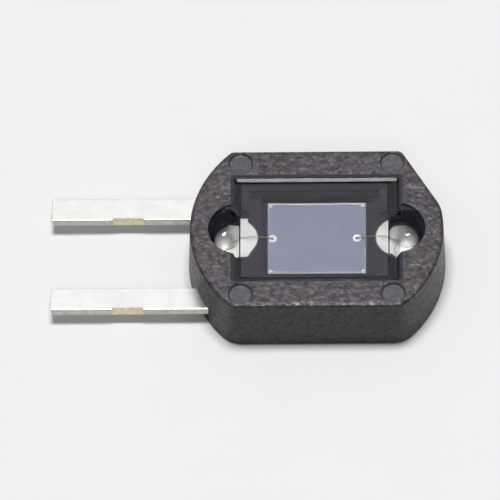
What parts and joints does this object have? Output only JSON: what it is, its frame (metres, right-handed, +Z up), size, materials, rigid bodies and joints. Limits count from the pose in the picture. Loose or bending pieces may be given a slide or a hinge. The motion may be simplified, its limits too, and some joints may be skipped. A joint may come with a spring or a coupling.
{
  "type": "photodiode",
  "caption": "Low round black photodiode housing with parallel sides and a polarity flat, a silicon chip under a clear window, and flat leads on one side.",
  "frame": {"origin": "on the underside of the housing, at the middle of its round outline", "axes": "+Z up through the window, -X along the leads toward their tips, +Y toward the cathode lead; the polarity flat faces between +X and +Y"},
  "size_m": [0.0092, 0.0044, 0.0016],
  "materials": {
    "housing": "grained black moulding compound",
    "lead_metal": "bright plated sheet, satin",
    "adhesive": "dull",
    "silicon": "smooth, blue-grey coated",
    "contact_metal": "bright thin film",
    "wire_metal": "bright fine wire",
    "resin": "clear, gloss",
    "window": "clear, polished"
  },
  "bodies": {
    "root": {"body": "housing", "cathode_lead": "lead_metal", "anode_lead": "lead_metal", "die_attach": "adhesive", "chip": "silicon", "cathode_contact": "contact_metal", "anode_contact": "contact_metal", "cathode_wire": "wire_metal", "anode_wire": "wire_metal", "potting_resin": "resin", "window_glass": "window"}
  },
  "joints": []
}
